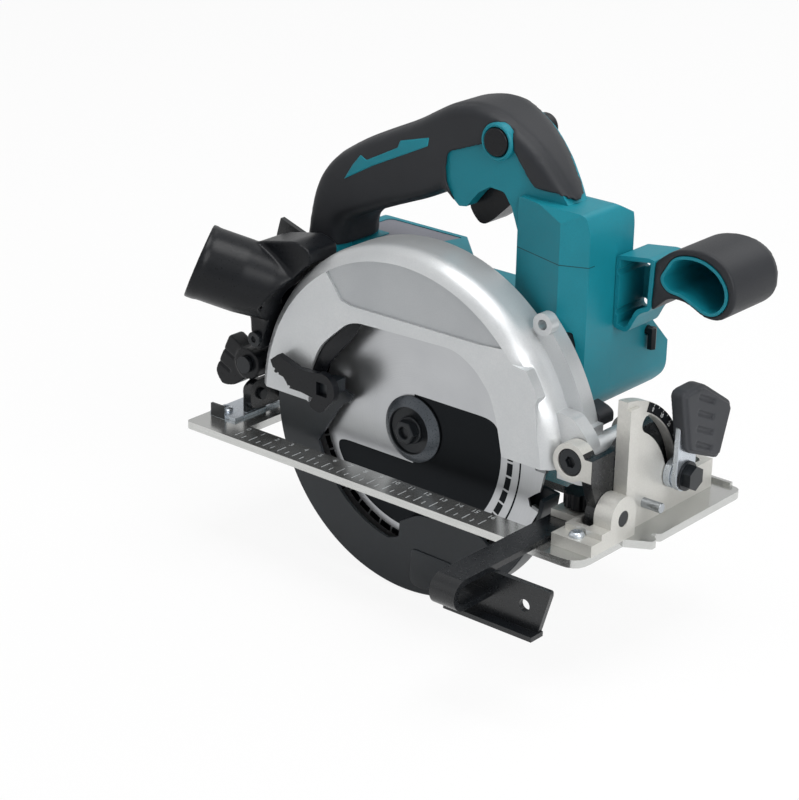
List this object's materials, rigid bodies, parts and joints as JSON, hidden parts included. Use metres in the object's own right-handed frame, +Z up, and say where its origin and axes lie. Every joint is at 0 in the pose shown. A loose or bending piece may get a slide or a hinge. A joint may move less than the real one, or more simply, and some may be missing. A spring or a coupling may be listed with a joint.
{
  "type": "circular saw",
  "caption": "Cordless circular saw with tilting base, swinging lower blade guard, dust nozzle, front grip and rip fence.",
  "frame": {"origin": "in the plane of the sole, straight below the blade axis and on the sole's centre line across", "axes": "+X is the cutting direction, +Y points to the motor side, +Z points up from the sole"},
  "size_m": [0.2846, 0.184, 0.2493],
  "materials": {
    "base_plate": "brushed",
    "front_bracket": "cast",
    "plate_screws": "zinc plated",
    "rear_bracket": "zinc plated",
    "rear_bevel_pin": "plated",
    "front_bevel_pin": "plated",
    "stop_pin": "turned",
    "angular_guide": "cast",
    "depth_hinge_pin": "black oxide",
    "bevel_clamp_bolt": "black oxide",
    "depth_guide": "black coated",
    "bevel_lever_strap": "zinc plated",
    "bevel_lever_grip": "matte",
    "upper_guard": "silver painted casting",
    "dust_nozzle": "fine texture",
    "nozzle_screw": "plated",
    "bearing_box": "cast",
    "gear_housing": "cast",
    "spindle_bearing_front": "polished",
    "spindle_bearing_rear": "polished",
    "rotor_bearings": "polished",
    "guard_ring": "oiled",
    "guard_spring": "oiled",
    "stator": "wound copper on laminations",
    "motor_cover": "satin",
    "housing_left": "fine texture",
    "housing_right": "fine texture",
    "handle_rubber": "soft matte",
    "switch_unit": "plain",
    "controller": "potted board",
    "terminal_block": "plain",
    "battery_rails": "plain",
    "label_plate": "plain",
    "front_grip_shell": "fine texture",
    "front_grip_rubber": "soft matte",
    "work_light": "plain",
    "light_lens": "clear",
    "rubber_stop": "matte",
    "hex_wrench": "black oxide",
    "housing_screws": "plated",
    "depth_stud": "plated",
    "blade": "ground",
    "blade_tips": "sintered",
    "inner_flange": "black oxide",
    "outer_flange": "black oxide",
    "blade_bolt": "black oxide",
    "spindle": "ground",
    "spindle_gear": "machined",
    "rotor": "laminated",
    "rotor_shaft": "ground",
    "cooling_fan": "plain",
    "lower_guard": "dark gloss coated",
    "retract_lever": "plain",
    "trigger": "plain",
    "lock_off_button": "plain",
    "shaft_lock": "black coated",
    "depth_lever": "satin",
    "rip_fence": "black coated",
    "fence_knob": "satin"
  },
  "bodies": {
    "base": {"base_plate": "base_plate", "front_bracket": "front_bracket", "plate_screws": "plate_screws", "rear_bracket": "rear_bracket", "rear_bevel_pin": "rear_bevel_pin", "front_bevel_pin": "front_bevel_pin", "stop_pin": "stop_pin"},
    "tilt_frame": {"angular_guide": "angular_guide", "depth_hinge_pin": "depth_hinge_pin", "bevel_clamp_bolt": "bevel_clamp_bolt", "depth_guide": "depth_guide"},
    "bevel_lever": {"bevel_lever_strap": "bevel_lever_strap", "bevel_lever_grip": "bevel_lever_grip"},
    "saw_body": {"upper_guard": "upper_guard", "dust_nozzle": "dust_nozzle", "nozzle_screw": "nozzle_screw", "bearing_box": "bearing_box", "gear_housing": "gear_housing", "spindle_bearing_front": "spindle_bearing_front", "spindle_bearing_rear": "spindle_bearing_rear", "rotor_bearings": "rotor_bearings", "guard_ring": "guard_ring", "guard_spring": "guard_spring", "stator": "stator", "motor_cover": "motor_cover", "housing_left": "housing_left", "housing_right": "housing_right", "handle_rubber": "handle_rubber", "switch_unit": "switch_unit", "controller": "controller", "terminal_block": "terminal_block", "battery_rails": "battery_rails", "label_plate": "label_plate", "front_grip_shell": "front_grip_shell", "front_grip_rubber": "front_grip_rubber", "work_light": "work_light", "light_lens": "light_lens", "rubber_stop": "rubber_stop", "hex_wrench": "hex_wrench", "housing_screws": "housing_screws", "depth_stud": "depth_stud"},
    "blade_set": {"blade": "blade", "blade_tips": "blade_tips", "inner_flange": "inner_flange", "outer_flange": "outer_flange", "blade_bolt": "blade_bolt", "spindle": "spindle", "spindle_gear": "spindle_gear"},
    "rotor_set": {"rotor": "rotor", "rotor_shaft": "rotor_shaft", "cooling_fan": "cooling_fan"},
    "guard_set": {"lower_guard": "lower_guard", "retract_lever": "retract_lever"},
    "trigger": {"trigger": "trigger"},
    "lock_off_button": {"lock_off_button": "lock_off_button"},
    "shaft_lock": {"shaft_lock": "shaft_lock"},
    "depth_lever": {"depth_lever": "depth_lever"},
    "rip_fence": {"rip_fence": "rip_fence"},
    "fence_knob": {"fence_knob": "fence_knob"}
  },
  "joints": [
    {"name": "bevel_tilt", "type": "hinge", "parent": "base", "child": "tilt_frame", "pos_m": [0, -0.028, 0.0155], "axis": [1, 0, 0], "range_deg": [0, 50]},
    {"name": "depth_hinge", "type": "hinge", "parent": "tilt_frame", "child": "saw_body", "pos_m": [0.1038, 0, 0.0415], "axis": [0, 1, 0], "range_deg": [0, 16]},
    {"name": "bevel_lever_turn", "type": "hinge", "parent": "tilt_frame", "child": "bevel_lever", "pos_m": [0.128, 0.01716, 0.02428], "axis": [1, 0, 0], "range_deg": [0, 45]},
    {"name": "depth_lever_turn", "type": "hinge", "parent": "saw_body", "child": "depth_lever", "pos_m": [-0.107, -0.03, 0.034], "axis": [0, 1, 0], "range_deg": [0, 60]},
    {"name": "blade_spin", "type": "hinge", "parent": "saw_body", "child": "blade_set", "pos_m": [0, -0.0285, 0.0255], "axis": [0, 1, 0], "continuous": true},
    {"name": "rotor_spin", "type": "hinge", "parent": "saw_body", "child": "rotor_set", "pos_m": [0.01023, 0.03, 0.04474], "axis": [0, 1, 0], "continuous": true},
    {"name": "lower_guard_swing", "type": "hinge", "parent": "saw_body", "child": "guard_set", "pos_m": [0, -0.0216, 0.0255], "axis": [0, 1, 0], "range_deg": [0, 150], "stiffness_Nm_per_rad": 0.06, "springref_deg": -28.65},
    {"name": "trigger_pull", "type": "hinge", "parent": "saw_body", "child": "trigger", "pos_m": [0.03, 0.013, 0.148], "axis": [0, 1, 0], "range_deg": [0, 8], "stiffness_Nm_per_rad": 0.6, "springref_deg": -11.46},
    {"name": "lock_off_push", "type": "slide", "parent": "saw_body", "child": "lock_off_button", "axis": [0, 1, 0], "range_m": [-0.0015, 0.0015], "stiffness_N_per_m": 500},
    {"name": "shaft_lock_push", "type": "slide", "parent": "saw_body", "child": "shaft_lock", "axis": [-1, 0, 0], "range_m": [0, 0.0015], "stiffness_N_per_m": 400, "springref_m": -0.001},
    {"name": "fence_slide", "type": "slide", "parent": "base", "child": "rip_fence", "axis": [0, -1, 0], "range_m": [-0.02, 0.03]},
    {"name": "fence_knob_turn", "type": "hinge", "parent": "base", "child": "fence_knob", "pos_m": [0.09905, -0.024, 0.012], "axis": [0, 0, 1], "range_deg": [0, 360]}
  ],
  "couplings": [
    {"joint": "rotor_spin", "follows": "blade_spin", "ratio": -4.6667}
  ]
}
